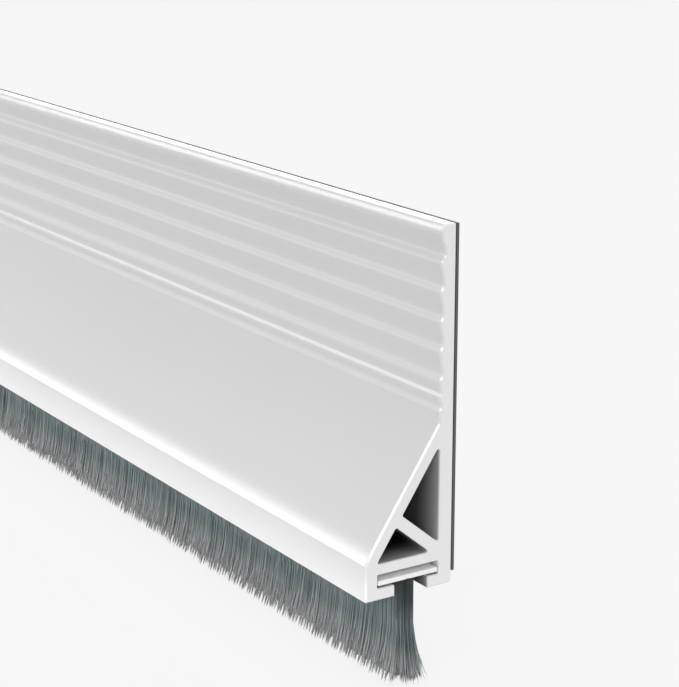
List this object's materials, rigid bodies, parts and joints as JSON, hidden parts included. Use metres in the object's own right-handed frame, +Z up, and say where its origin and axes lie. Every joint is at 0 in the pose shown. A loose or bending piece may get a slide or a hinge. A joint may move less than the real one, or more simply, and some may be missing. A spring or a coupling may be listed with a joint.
{
  "type": "door brush strip",
  "caption": "Long white aluminium carrier with a ribbed mounting plate, a hollow sloping skirt and a slide-in brush, stuck to a door's foot to seal the gap above the floor.",
  "frame": {"origin": "centre of the adhesive face, the outer face of the tape on the back of the plate", "axes": "+X along the strip, +Y out of the adhesive face towards what it is stuck to, +Z up, so the brush points down along -Z and the ribbed side faces -Y"},
  "size_m": [0.726, 0.0165, 0.0717],
  "materials": {
    "white_powder_coat": "satin white powder coat over extruded aluminium",
    "white_plastic": "extruded white polypropylene",
    "grey_bristle": "fine grey nylon filaments, cut ends paler",
    "grey_adhesive": "dark grey acrylic tape, matt and tacky"
  },
  "bodies": {
    "carrier": {"carrier_profile": "white_powder_coat", "adhesive_tape": "grey_adhesive"},
    "brush_insert": {"brush_base": "white_plastic", "brush_pile": "grey_bristle"}
  },
  "joints": [
    {"name": "brush_slide", "type": "slide", "parent": "carrier", "child": "brush_insert", "axis": [1, 0, 0], "range_m": [-0.726, 0.726]}
  ]
}
